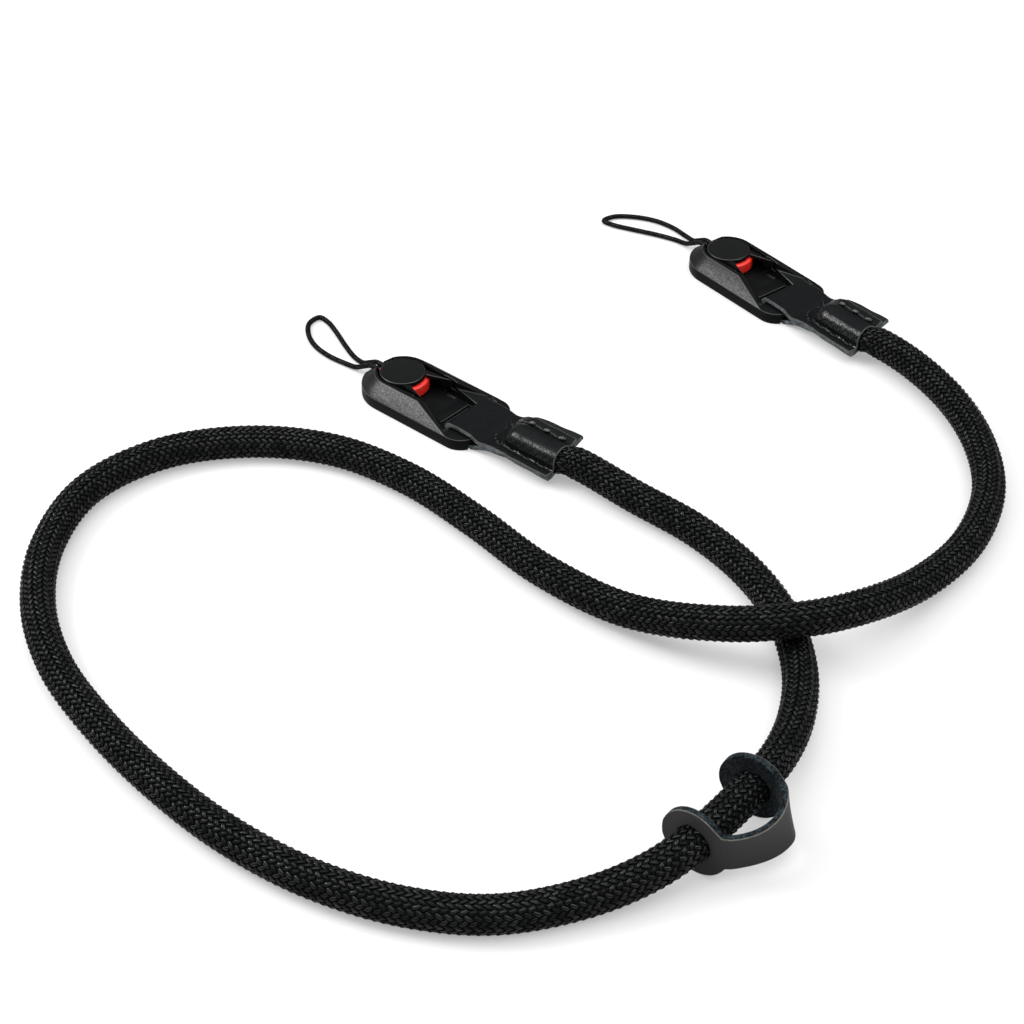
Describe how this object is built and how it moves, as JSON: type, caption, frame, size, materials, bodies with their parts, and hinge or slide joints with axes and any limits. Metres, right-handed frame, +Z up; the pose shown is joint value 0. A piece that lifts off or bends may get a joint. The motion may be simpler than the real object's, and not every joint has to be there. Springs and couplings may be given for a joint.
{
  "type": "camera strap",
  "caption": "Braided rope camera strap with leather tabs, quick-release connectors on thin cord loops and a sliding leather keeper, lying in a loose loop.",
  "frame": {"origin": "on the surface that the strap lies on, within 1 mm of the middle of the box around the two quick-release connectors and their leather tabs", "axes": "+Z up, away from the surface; +Y from the rope loop towards the connectors; +X from the left connector towards the right one"},
  "size_m": [0.2944, 0.3477, 0.0209],
  "materials": {
    "rope_braid": "matte black nylon, braided in a close herringbone",
    "tether_cord": "matte black thin braided cord",
    "housing_plastic": "black moulded plastic, fine texture on the sloping sides",
    "cap_plastic": "smooth satin black plastic",
    "anchor_red": "smooth bright red plastic",
    "tab_leather": "black pebbled leather with a soft shine and grey raw edges",
    "keeper_leather": "smooth charcoal leather, suede inside, pale raw edges"
  },
  "bodies": {
    "root": {"left_housing": "housing_plastic", "left_anchor_disc": "anchor_red", "left_anchor_cap": "cap_plastic", "left_leather_tab": "tab_leather", "left_tether": "tether_cord", "right_housing": "housing_plastic", "right_anchor_disc": "anchor_red", "right_anchor_cap": "cap_plastic", "right_leather_tab": "tab_leather", "right_tether": "tether_cord", "rope": "rope_braid", "keeper": "keeper_leather"}
  },
  "joints": []
}
